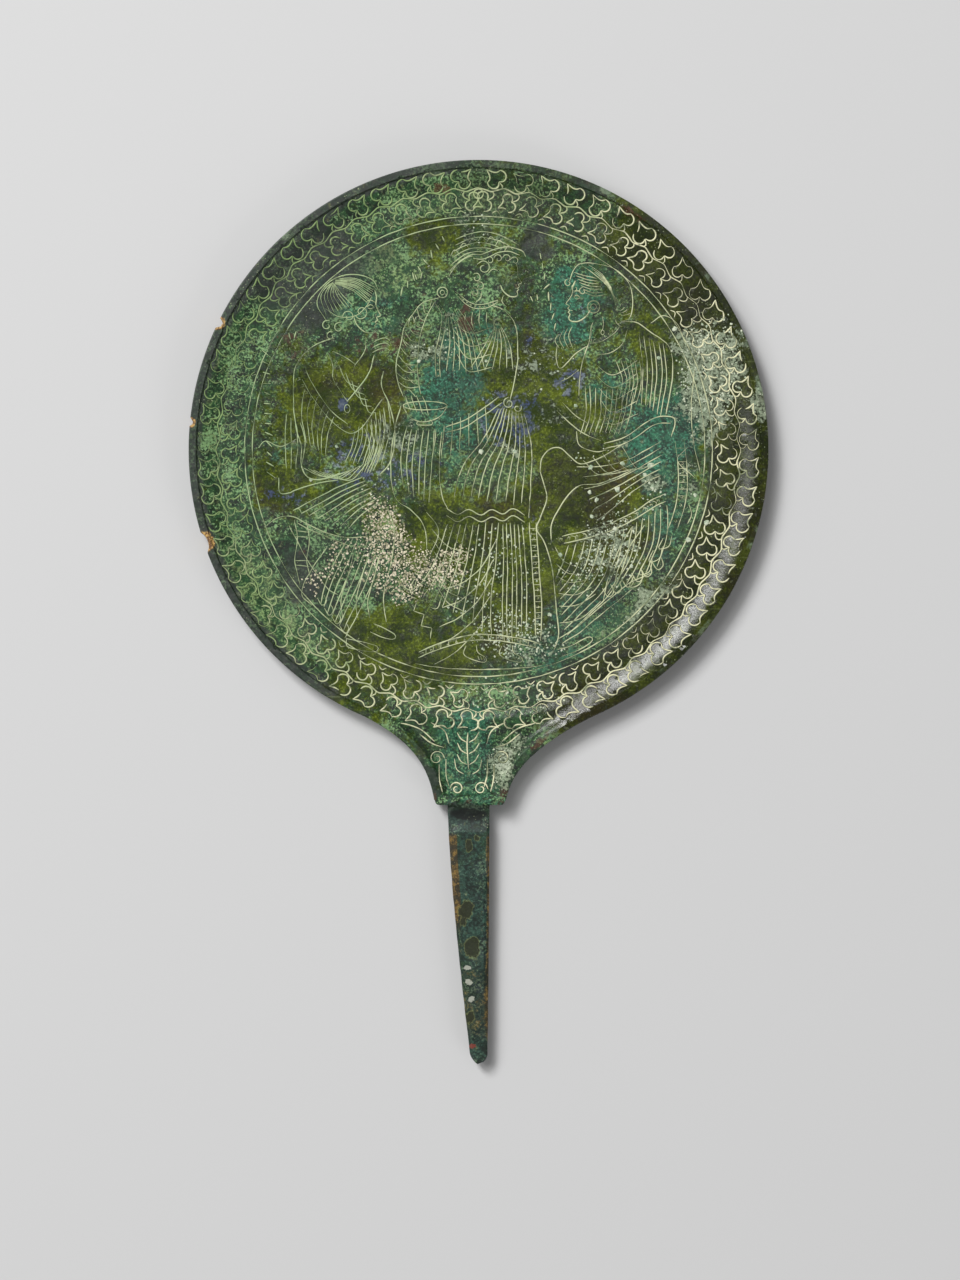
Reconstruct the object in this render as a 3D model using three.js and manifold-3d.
import * as THREE from 'three';
import { mergeGeometries, mergeVertices } from 'three/addons/utils/BufferGeometryUtils.js';
import Module from 'manifold-3d';

// A bronze hand mirror, cast in one piece with its neck and tang. It lies on the middle of its
// convex face with the engraved side up. Sizes are millimetres and +Z is up. The origin is the
// middle of the flat spot under the disc, and the tang points along -Y.

// Disc
const DISC_DIAMETER = 155;
const FLOOR_THICKNESS = 2;
const DISH_DEPTH = 4.2;
const BELLY_RADIUS = 1150;
const REST_SPOT_DIAMETER = 28;
const RIM_WIDTH = 2.2;
const RIM_LIP = 0.6;

// Border, with a double line between it and the picture
const BORDER_WIDTH = 12.7;
const RING_SPACING = 2;
const RING_LINE_WIDTH = 0.6;
const RING_LINE_DEPTH = 0.3;

// Ivy in the border: two branches rise from the neck and meet at the top
const LEAVES_PER_BRANCH = 32;
const STEM_WAVE = 0.6;
const STEM_FROM_RIM = 5.6;
const OUTER_LEAF_TURN = 55;
const INNER_LEAF_TURN = 68;
const LEAF_GAP = 0.08;

// Neck, set a little to the left of the middle of the disc
const NECK_OFFSET = -2.3;
const NECK_END_WIDTH = 18.7;
const NECK_FLARE_WIDTH = 61.5;
const NECK_LENGTH = 17.4;
const NECK_THICKNESS = 4.4;
const TROUGH_DEPTH = 1.5;
const TROUGH_SLOPE = 1.8;
const SHOULDER_ROUNDING = 1.1;

// Tang
const TANG_LENGTH = 69.4;
const TANG_ROOT_WIDTH = 11.3;
const TANG_TIP_WIDTH = 4.4;
const TANG_LEAN = 2.9;
const TANG_ROOT_THICKNESS = 3.1;
const TANG_TIP_THICKNESS = 2.4;
const TANG_STEP = 0.3;
const TANG_OFFSET = -2.7;
const WIDE_CHAMFER = 1.9;
const NARROW_CHAMFER = 0.7;
const CHAMFER_DROP = 1;
const HOLLOW_LENGTH = 7;
const HOLLOW_DEPTH = 0.9;

// Engraved lines
const LINE_WIDTH = 0.5;
const LINE_DEPTH = 0.25;
const CUT_ABOVE = 0.15;

const discRadius = DISC_DIAMETER / 2;
const restRadius = REST_SPOT_DIAMETER / 2;
const rimTop = FLOOR_THICKNESS + DISH_DEPTH;
const borderOuter = discRadius - RIM_WIDTH;
const ringOuter = borderOuter - BORDER_WIDTH;
const ringRadii = [ringOuter - RING_SPACING, ringOuter];
const pictureRadius = ringRadii[0];
const borderInner = ringOuter + RING_LINE_WIDTH / 2;
const stemRadius = borderOuter - STEM_FROM_RIM;
const neckEnd = -(discRadius + NECK_LENGTH);
const troughFloor = rimTop - TROUGH_DEPTH;
const tangUnderside = rimTop - NECK_THICKNESS + TANG_STEP;
const radians = THREE.MathUtils.degToRad;

// Heights of the dished floor and of the belly at a distance from the axis.
const dish = (r) => FLOOR_THICKNESS + (r * r) / (2 * BELLY_RADIUS);
const belly = (r) => Math.max(0, r * r - restRadius * restRadius) / (2 * BELLY_RADIUS);

// Breaks in the slope of the engraved face, from the axis outwards.
const faceBreaks = [0, ringRadii[0] * 0.55, ringRadii[0], borderInner, borderOuter];
const faceHeights = [...faceBreaks.slice(0, -1).map(dish), rimTop - RIM_LIP];

// Height of the engraved face at a distance from the axis.
function faceHeight(r) {
  const found = faceBreaks.findIndex((edge) => edge >= r - 1e-6);
  const k = Math.max(1, found < 0 ? faceBreaks.length - 1 : found);
  const share = (r - faceBreaks[k - 1]) / (faceBreaks[k] - faceBreaks[k - 1]);
  return faceHeights[k - 1] + share * (faceHeights[k] - faceHeights[k - 1]);
}

const wasm = await Module();
wasm.setup();

// Positions alone, three to a triangle, so that unlike geometries can be merged.
function bare(geometry) {
  const loose = geometry.index ? geometry.toNonIndexed() : geometry.clone();
  loose.deleteAttribute('normal');
  loose.deleteAttribute('uv');
  return loose;
}

function solid(...geometries) {
  const merged = mergeVertices(mergeGeometries(geometries.map(bare)), 1e-4);
  const corners = merged.index.array;
  const triVerts = [];
  for (let i = 0; i < corners.length; i += 3) {
    const [a, b, c] = corners.slice(i, i + 3);
    if (a !== b && b !== c && c !== a) triVerts.push(a, b, c);
  }
  return new wasm.Manifold(new wasm.Mesh({
    numProp: 3,
    vertProperties: new Float32Array(merged.attributes.position.array),
    triVerts: new Uint32Array(triVerts),
  }));
}

const union = (solids) => solids.reduce((whole, next) => whole.add(next));

// Triangles, each three points, as a geometry.
function patch(triangles) {
  const geometry = new THREE.BufferGeometry();
  return geometry.setFromPoints(triangles.flat());
}

// An outline with holes, as triangles.
function fill(outline, holes = []) {
  const all = [...outline, ...holes.flat()];
  return THREE.ShapeUtils.triangulateShape(outline, holes).map((ids) => ids.map((i) => all[i]));
}

// The two walls of a V-shaped line, as triangles between two rows of points.
const strip = (a, b) => a.slice(1).flatMap((p, i) => [
  [a[i], p, b[i + 1]],
  [a[i], b[i + 1], b[i]],
]);

// Mitred corners of a grown outline reach at most this many times its distance.
const MITRE = 1.6;

// A closed outline moved out by a distance, with mitred corners, at a depth under the face.
function grow(outline, distance, depth = 0) {
  return outline.map((p, i) => {
    const before = p.clone().sub(outline.at(i - 1)).normalize();
    const after = outline[(i + 1) % outline.length].clone().sub(p).normalize();
    const along = before.add(after).normalize();
    const reach = distance * Math.min(MITRE, 1 / along.dot(after));
    return new THREE.Vector3(p.x + along.y * reach, p.y - along.x * reach, -depth);
  });
}

// An ivy leaf: a cusp between two round lobes, a corner each side and a pointed tip. It is
// centred at (x, y) with its tip along the branch and turned out (1) or in (-1).
function leafOutline(x, y, length, outwards) {
  const turn = radians(outwards > 0 ? OUTER_LEAF_TURN : INNER_LEAF_TURN);
  const right = [[-0.16, -0.36], [0.42, -0.4]];
  const left = right.map(([u, v]) => [u, -v]).reverse();
  const points = [[0.08, 0], ...right, [1, 0], ...left].map(([u, v]) => new THREE.Vector3(
    length * (u * Math.sin(turn) - v * Math.cos(turn) * outwards),
    length * (u * Math.cos(turn) * outwards + v * Math.sin(turn)),
    0,
  ));
  const middle = new THREE.Box3().setFromPoints(points).getCenter(new THREE.Vector3());
  points.forEach((p) => p.sub(middle).add(new THREE.Vector3(x, y, 0)));
  return points;
}

// One step of the border laid flat: x runs along the branch, y out from the axis, and z is
// the depth of the engraving. The stem waves between an outer and an inner leaf, which leave
// a gap to the next ones between their engraved lines.
function ivyStep(width) {
  const half = LINE_WIDTH / 2;
  const wave = [[0, STEM_WAVE], [0.5, -STEM_WAVE], [1, STEM_WAVE]];
  const stem = (shift, depth) => wave.map(([share, rise]) => (
    new THREE.Vector3(share * width, stemRadius + rise + shift, -depth)));
  const corner = (x, y) => new THREE.Vector3(x, y, 0);
  const outerBand = borderOuter - stemRadius;
  const innerBand = stemRadius - borderInner;
  const turn = radians(INNER_LEAF_TURN);
  const leafSpan = 1.16 * Math.sin(turn) + 0.36 * Math.cos(turn);
  const leafLength = (width - MITRE * LINE_WIDTH - LEAF_GAP) / leafSpan;
  const outerLeaf = leafOutline(width / 2, stemRadius + outerBand * 0.52,
    Math.min(leafLength, 0.88 * outerBand), 1);
  const innerLeaf = leafOutline(width / 2, borderInner + innerBand * 0.47,
    Math.min(leafLength, 0.8 * innerBand), -1);
  const triangles = [
    ...fill([...stem(half, 0), corner(width, borderOuter), corner(0, borderOuter)],
      [grow(outerLeaf, half)]),
    ...fill([corner(0, borderInner), corner(width, borderInner), ...stem(-half, 0).reverse()],
      [grow(innerLeaf, half)]),
    ...strip(stem(half, 0), stem(0, LINE_DEPTH)),
    ...strip(stem(-half, 0), stem(0, LINE_DEPTH)),
  ];
  [outerLeaf, innerLeaf].forEach((leaf) => {
    const [outside, bottom, inside] = [
      grow(leaf, half),
      grow(leaf, 0, LINE_DEPTH),
      grow(leaf, -half),
    ];
    [outside, bottom, inside].forEach((loop) => loop.push(loop[0]));
    triangles.push(...strip(outside, bottom), ...strip(bottom, inside), ...fill(inside.slice(0, -1)));
  });
  return triangles;
}

// The engraved border, from the neck up both branches to the top.
function makeBorder() {
  const step = Math.PI / LEAVES_PER_BRANCH;
  const flat = ivyStep(step * stemRadius);
  const triangles = [];
  [1, -1].forEach((side) => {
    for (let k = 0; k < LEAVES_PER_BRANCH; k += 1) {
      flat.forEach(([a, b, c]) => {
        const turned = (b.x - a.x) * (c.y - a.y) - (c.x - a.x) * (b.y - a.y) > 0 ? side : -side;
        triangles.push((turned > 0 ? [a, c, b] : [a, b, c]).map((p) => {
          const angle = k * step + p.x / stemRadius;
          return new THREE.Vector3(
            side * p.y * Math.sin(angle),
            -p.y * Math.cos(angle),
            faceHeight(p.y) + p.z,
          );
        }));
      });
    }
  });
  return patch(triangles);
}

// The dished floor that carries the picture. Its inner ring has one corner for every few of
// the outer one.
function makeFloor() {
  const circle = (r, spans) => Array.from({ length: spans }, (_, k) => {
    const angle = (k * 2 * Math.PI) / spans;
    return new THREE.Vector3(r * Math.cos(angle), r * Math.sin(angle), dish(r));
  });
  const inner = circle(faceBreaks[1], LEAVES_PER_BRANCH / 2);
  const outer = circle(ringRadii[0] - RING_LINE_WIDTH / 2, 2 * LEAVES_PER_BRANCH);
  const fold = outer.length / inner.length;
  const middle = new THREE.Vector3(0, 0, dish(0));
  return patch(inner.flatMap((p, k) => {
    const next = inner[(k + 1) % inner.length];
    const edge = Array.from({ length: fold + 1 }, (_, j) => (
      outer.at(((k - 0.5) * fold + j) % outer.length)));
    return [
      [middle, p, next],
      [next, p, edge.at(-1)],
      ...edge.slice(1).map((q, j) => [p, edge[j], q]),
    ];
  }));
}

// The disc: belly and rim turned about the axis, the border, and the ringed floor inside it.
function makeDisc() {
  const turned = (profile) => {
    const outline = profile.map(([r, z]) => new THREE.Vector2(r, z));
    return new THREE.LatheGeometry(outline, 2 * LEAVES_PER_BRANCH).rotateX(Math.PI / 2);
  };
  const line = RING_LINE_WIDTH / 2;
  const under = [0, restRadius, discRadius * 0.6, discRadius];
  const outside = [
    ...under.map((r) => [r, belly(r)]),
    [discRadius, rimTop],
    [borderOuter + RIM_LIP / 2, rimTop],
    [borderOuter, faceHeight(borderOuter)],
  ];
  const rings = [...ringRadii].reverse().flatMap((r) => [
    [r + line, dish(r + line)],
    [r, dish(r) - RING_LINE_DEPTH],
    [r - line, dish(r - line)],
  ]);
  return solid(turned(outside), makeBorder(), turned(rings), makeFloor());
}

// One concave side of the neck, from the disc towards the shoulder, moved in by an inset.
function neckSide(side, inset) {
  const flare = NECK_FLARE_WIDTH / 2;
  const endX = NECK_OFFSET + side * (NECK_END_WIDTH / 2);
  const startY = -Math.sqrt(discRadius * discRadius - flare * flare);
  const curve = new THREE.CubicBezierCurve(
    new THREE.Vector2(side * flare, startY),
    new THREE.Vector2(side * flare * 0.58, startY - NECK_LENGTH * 0.38),
    new THREE.Vector2(endX + side * 1.6, neckEnd + NECK_LENGTH * 0.62),
    new THREE.Vector2(endX, neckEnd),
  );
  const spans = 9;
  return Array.from({ length: spans }, (_, k) => {
    const along = curve.getTangent(k / spans);
    const inwards = new THREE.Vector2(side * along.y, -side * along.x);
    return curve.getPoint(k / spans).addScaledVector(inwards, inset);
  });
}

// The plan of the neck: down its left side, across its end and up its right side, then back
// over the disc along an arc.
function neckPlan(inset, end, arcRadius) {
  const [left, right] = [-1, 1].map((side) => NECK_OFFSET + side * (NECK_END_WIDTH / 2 - inset));
  const outline = [
    ...neckSide(-1, inset),
    new THREE.Vector2(left, end + SHOULDER_ROUNDING),
    new THREE.Vector2(left + SHOULDER_ROUNDING, end),
    new THREE.Vector2(right - SHOULDER_ROUNDING, end),
    new THREE.Vector2(right, end + SHOULDER_ROUNDING),
    ...neckSide(1, inset).reverse(),
  ];
  const [to, from] = [outline[0], outline.at(-1)].map((p) => Math.atan2(p.x, -p.y));
  const spans = 8;
  for (let k = 1; k < spans; k += 1) {
    const angle = from + ((to - from) * k) / spans;
    outline.push(new THREE.Vector2(arcRadius * Math.sin(angle), -arcRadius * Math.cos(angle)));
  }
  return new THREE.Shape(outline);
}

function makeNeck() {
  const plan = neckPlan(0, neckEnd, borderOuter + RIM_WIDTH / 2);
  const geometry = new THREE.ExtrudeGeometry(plan, { depth: NECK_THICKNESS, bevelEnabled: false });
  return solid(geometry.translate(0, 0, rimTop - NECK_THICKNESS));
}

// The space over the floor of the neck, with sloping sides. It opens into the border.
function makeTrough() {
  const plan = neckPlan(RIM_WIDTH, neckEnd + RIM_WIDTH / 2, stemRadius);
  const geometry = new THREE.ExtrudeGeometry(plan, {
    depth: TROUGH_DEPTH,
    bevelThickness: TROUGH_DEPTH,
    bevelSize: TROUGH_SLOPE,
    bevelOffset: -TROUGH_SLOPE,
    bevelSegments: 1,
  });
  return solid(geometry.translate(0, 0, troughFloor + TROUGH_DEPTH));
}

// A section carried over a row of stations: place gives the point for corner (x, y) at station k.
function carry(section, stations, place) {
  const spans = stations - 1;
  const geometry = new THREE.ExtrudeGeometry(section, {
    depth: spans,
    steps: spans,
    bevelEnabled: false,
  });
  const { position } = geometry.attributes;
  for (let i = 0; i < position.count; i += 1) {
    const point = place(Math.round(position.getZ(i)), position.getX(i), position.getY(i));
    position.setXYZ(i, point.x, point.y, point.z);
  }
  return solid(geometry);
}

// Chamfered bar, narrower and thinner towards a rounded tip that leans to the right.
function makeTang() {
  const tipFrom = 0.93;
  const shares = [-0.06, 0.14, 0.32, 0.5, 0.68, 0.84, tipFrom, 0.98, 1];
  const section = new THREE.Shape([
    [-2, 1], [-1, 0], [1, 0], [2, 1], [2, 2], [1, 3], [-1, 3], [-2, 2],
  ].map(([x, y]) => new THREE.Vector2(x, y)));
  return carry(section, shares.length, (k, x, y) => {
    const share = Math.max(0, shares[k]);
    const taper = share ** 1.35;
    const rounding = 1 - 0.45 * Math.max(0, (share - tipFrom) / (1 - tipFrom)) ** 2;
    const width = THREE.MathUtils.lerp(TANG_ROOT_WIDTH, TANG_TIP_WIDTH, taper) * rounding;
    const thick = THREE.MathUtils.lerp(TANG_ROOT_THICKNESS, TANG_TIP_THICKNESS, share);
    const chamfer = (x < 0 ? WIDE_CHAMFER : NARROW_CHAMFER) * (width / TANG_ROOT_WIDTH);
    const across = width / 2 - (Math.abs(x) === 2 ? 0 : chamfer);
    const up = [0, CHAMFER_DROP, thick - CHAMFER_DROP, thick][y];
    return new THREE.Vector3(
      TANG_OFFSET + TANG_LEAN * taper + Math.sign(x) * across,
      neckEnd - shares[k] * TANG_LENGTH,
      tangUnderside + up,
    );
  });
}

// Worn hollow across the root of the tang.
function makeHollow() {
  const reach = HOLLOW_LENGTH / 2;
  const radius = (reach * reach + HOLLOW_DEPTH * HOLLOW_DEPTH) / (2 * HOLLOW_DEPTH);
  const geometry = new THREE.CylinderGeometry(radius, radius, 2 * TANG_ROOT_WIDTH, 32);
  const middle = tangUnderside + TANG_ROOT_THICKNESS + radius - HOLLOW_DEPTH;
  geometry.rotateZ(Math.PI / 2).translate(TANG_OFFSET, neckEnd - reach - 0.4, middle);
  return solid(geometry);
}

// Breaks in the edge of the disc: angle from +X in degrees, length along the edge and depth.
function makeChips() {
  const chips = [
    { angle: 154, length: 2.5, depth: 1.2 },
    { angle: 174.5, length: 2, depth: 0.8 },
    { angle: 198.7, length: 5.6, depth: 1.1 },
  ];
  return chips.map(({ angle, length, depth }) => {
    const geometry = new THREE.CylinderGeometry(length / 2, length / 2, 2 * rimTop, 7);
    geometry.rotateX(Math.PI / 2).scale((2 * depth) / length, 1, 1);
    return solid(geometry.translate(discRadius, 0, rimTop).rotateZ(radians(angle)));
  });
}

// A V-shaped cutter along points of the plan. Its tip runs one line depth under the face.
function cutLine(points, height = (p) => faceHeight(p.length())) {
  const spread = (LINE_WIDTH / 2) * (1 + CUT_ABOVE / LINE_DEPTH);
  const section = new THREE.Shape([
    new THREE.Vector2(-spread, CUT_ABOVE),
    new THREE.Vector2(0, -LINE_DEPTH),
    new THREE.Vector2(spread, CUT_ABOVE),
  ]);
  const steps = points.slice(1).map((p, k) => p.clone().sub(points[k]).normalize());
  const sides = points.map((_, k) => {
    const after = steps[Math.min(k, steps.length - 1)];
    const along = steps[Math.max(0, k - 1)].clone().add(after).normalize();
    return new THREE.Vector2(-along.y, along.x).multiplyScalar(Math.min(2, 1 / along.dot(after)));
  });
  return carry(section, points.length, (k, across, up) => new THREE.Vector3(
    points[k].x + sides[k].x * across,
    points[k].y + sides[k].y * across,
    height(points[k]) + up,
  ));
}

// A spiral that opens outwards from its eye and ends at an angle in degrees.
function spiral(x, y, radius, turns, endAngle) {
  const spans = 7;
  return Array.from({ length: spans + 1 }, (_, k) => {
    const share = k / spans;
    const angle = radians(endAngle) - turns * 2 * Math.PI * (1 - share);
    const r = radius * (0.3 + 0.7 * share);
    return new THREE.Vector2(x + r * Math.cos(angle), y + r * Math.sin(angle));
  });
}

// On the neck, a band each side that ends in a scroll at its top and foot, and a stem between.
function makeScrolls() {
  const point = (across, up) => new THREE.Vector2(
    NECK_OFFSET + across * (NECK_END_WIDTH / 2),
    neckEnd + up * NECK_LENGTH,
  );
  const radius = NECK_END_WIDTH * 0.1;
  const cuts = [1, -1].flatMap((side) => {
    const top = point(0.78, 0.7);
    const foot = point(0.34, 0.25);
    const band = [
      ...spiral(top.x, top.y, radius, 1, 180),
      ...spiral(foot.x, foot.y, radius, -1, 0).reverse(),
    ];
    const edge = [point(0.84, 0.58), point(0.76, 0.4), point(0.74, 0.24)];
    const mirrored = (line) => line.map((p) => new THREE.Vector2(
      NECK_OFFSET + side * (p.x - NECK_OFFSET),
      p.y,
    ));
    return [mirrored(band), mirrored(edge)];
  });
  cuts.push([point(-0.06, 1), point(-0.06, 0.56)]);
  return cuts.map((line) => cutLine(line, () => troughFloor));
}

// A smooth engraved line through points given in shares of the picture's radius.
function contour(spans, points) {
  const corners = points.map(([x, y]) => new THREE.Vector2(x * pictureRadius, y * pictureRadius));
  return new THREE.SplineCurve(corners).getPoints(spans);
}

// A family of folds that turns step by step from a first line into a last one.
function folds(count, spans, first, last) {
  return Array.from({ length: count }, (_, k) => contour(spans, first.map(([x, y], i) => [
    THREE.MathUtils.lerp(x, last[i][0], k / (count - 1)),
    THREE.MathUtils.lerp(y, last[i][1], k / (count - 1)),
  ])));
}

// An arc of an oval, between two angles in degrees, for heads and rounded things.
function oval(x, y, width, height, from, to, spans) {
  const ellipse = new THREE.EllipseCurve(
    x * pictureRadius,
    y * pictureRadius,
    (width / 2) * pictureRadius,
    (height / 2) * pictureRadius,
    radians(from),
    radians(to),
  );
  return ellipse.getPoints(spans);
}

// A seated figure on the left that looks to the right, wrapped in a mantle.
function makeLeftFigure() {
  return [
    oval(-0.56, 0.635, 0.28, 0.28, -20, 250, 8),
    contour(6, [[-0.63, 0.5], [-0.78, 0.42], [-0.82, 0.25], [-0.8, 0.06], [-0.77, -0.11]]),
    contour(4, [[-0.78, 0.31], [-0.66, 0.13], [-0.56, 0.07], [-0.43, 0.22]]),
    contour(3, [[-0.58, 0.22], [-0.48, 0.35], [-0.46, 0.43]]),
    contour(3, [[-0.42, 0.35], [-0.4, 0.2], [-0.36, -0.08]]),
    ...folds(4, 2, [[-0.51, -0.12], [-0.64, -0.17], [-0.78, -0.26]],
      [[-0.45, -0.23], [-0.5, -0.28], [-0.57, -0.35]]),
    contour(3, [[-0.83, -0.25], [-0.78, -0.28], [-0.57, -0.35], [-0.47, -0.38]]),
    ...folds(3, 2, [[-0.57, -0.37], [-0.67, -0.53], [-0.69, -0.64]],
      [[-0.42, -0.44], [-0.41, -0.62], [-0.44, -0.86]]),
  ];
}

// A standing figure in the middle, in a long dress with an overfold.
function makeMiddleFigure() {
  return [
    oval(0.08, 0.76, 0.22, 0.26, -60, 240, 8),
    contour(3, [[-0.03, 0.87], [0.08, 0.91], [0.21, 0.86]]),
    contour(4, [[-0.17, 0.69], [-0.29, 0.6], [-0.35, 0.47], [-0.35, 0.22]]),
    contour(4, [[0.05, 0.64], [0.15, 0.57], [0.17, 0.4], [0.14, 0.2]]),
    oval(-0.24, 0.19, 0.19, 0.12, 180, 360, 3),
    contour(3, [[-0.14, 0.1], [0, 0.17], [0.12, 0.22]]),
    ...folds(4, 2, [[0.06, 0.1], [0, 0], [-0.08, -0.25]], [[0.2, 0.08], [0.2, -0.08], [0.14, -0.25]]),
    contour(3, [[-0.36, -0.22], [-0.23, -0.36], [-0.24, -0.5]]),
    contour(3, [[-0.06, -0.27], [0.06, -0.28], [0.19, -0.26]]),
    ...folds(4, 2, [[0.05, -0.32], [-0.03, -0.52], [-0.19, -0.62]],
      [[0.19, -0.34], [0.21, -0.52], [0.22, -0.72]]),
    contour(3, [[-0.27, -0.88], [-0.1, -0.83], [0.12, -0.79]]),
  ];
}

// A seated figure on the right that looks to the left, with covered hair and a long dress.
function makeRightFigure() {
  return [
    oval(0.55, 0.68, 0.28, 0.29, -70, 200, 8),
    contour(4, [[0.65, 0.57], [0.78, 0.52], [0.85, 0.42], [0.82, 0.16]]),
    contour(3, [[0.49, 0.52], [0.45, 0.32], [0.41, 0.19]]),
    ...folds(2, 2, [[0.49, 0.47], [0.57, 0.5], [0.63, 0.57]], [[0.51, 0.4], [0.6, 0.42], [0.67, 0.54]]),
    contour(2, [[0.71, 0.49], [0.74, 0.34], [0.74, 0.18]]),
    contour(4, [[0.27, -0.09], [0.32, 0.01], [0.41, -0.04], [0.65, 0.04]]),
    contour(4, [[0.27, -0.09], [0.25, -0.33], [0.33, -0.54], [0.35, -0.85]]),
    ...folds(3, 2, [[0.7, -0.05], [0.58, -0.09], [0.43, -0.1]], [[0.77, -0.12], [0.62, -0.2], [0.53, -0.24]]),
    contour(3, [[0.39, -0.37], [0.58, -0.32], [0.81, -0.2]]),
    ...folds(4, 2, [[0.46, -0.36], [0.42, -0.48], [0.33, -0.53]],
      [[0.64, -0.42], [0.55, -0.68], [0.37, -0.8]]),
  ];
}

function makePicture() {
  const lines = [...makeLeftFigure(), ...makeMiddleFigure(), ...makeRightFigure()];
  return lines.map((line) => cutLine(line));
}

function bronze() {
  const body = union([makeDisc(), makeNeck(), makeTang()]).subtract(union([
    makeTrough(),
    makeHollow(),
    ...makeChips(),
    ...makeScrolls(),
    ...makePicture(),
  ]));
  const mesh = body.getMesh();
  const geometry = new THREE.BufferGeometry();
  geometry.setAttribute('position', new THREE.BufferAttribute(mesh.vertProperties, 3));
  geometry.setIndex(new THREE.BufferAttribute(mesh.triVerts, 1));
  geometry.computeVertexNormals();
  return geometry;
}

const mirror = new THREE.Mesh(bronze(), new THREE.MeshStandardMaterial({
  color: 0x4f6a38,
  roughness: 0.45,
  metalness: 0.5,
}));
mirror.name = 'mirror';

const part = new THREE.Group();
part.add(mirror);

export default part;
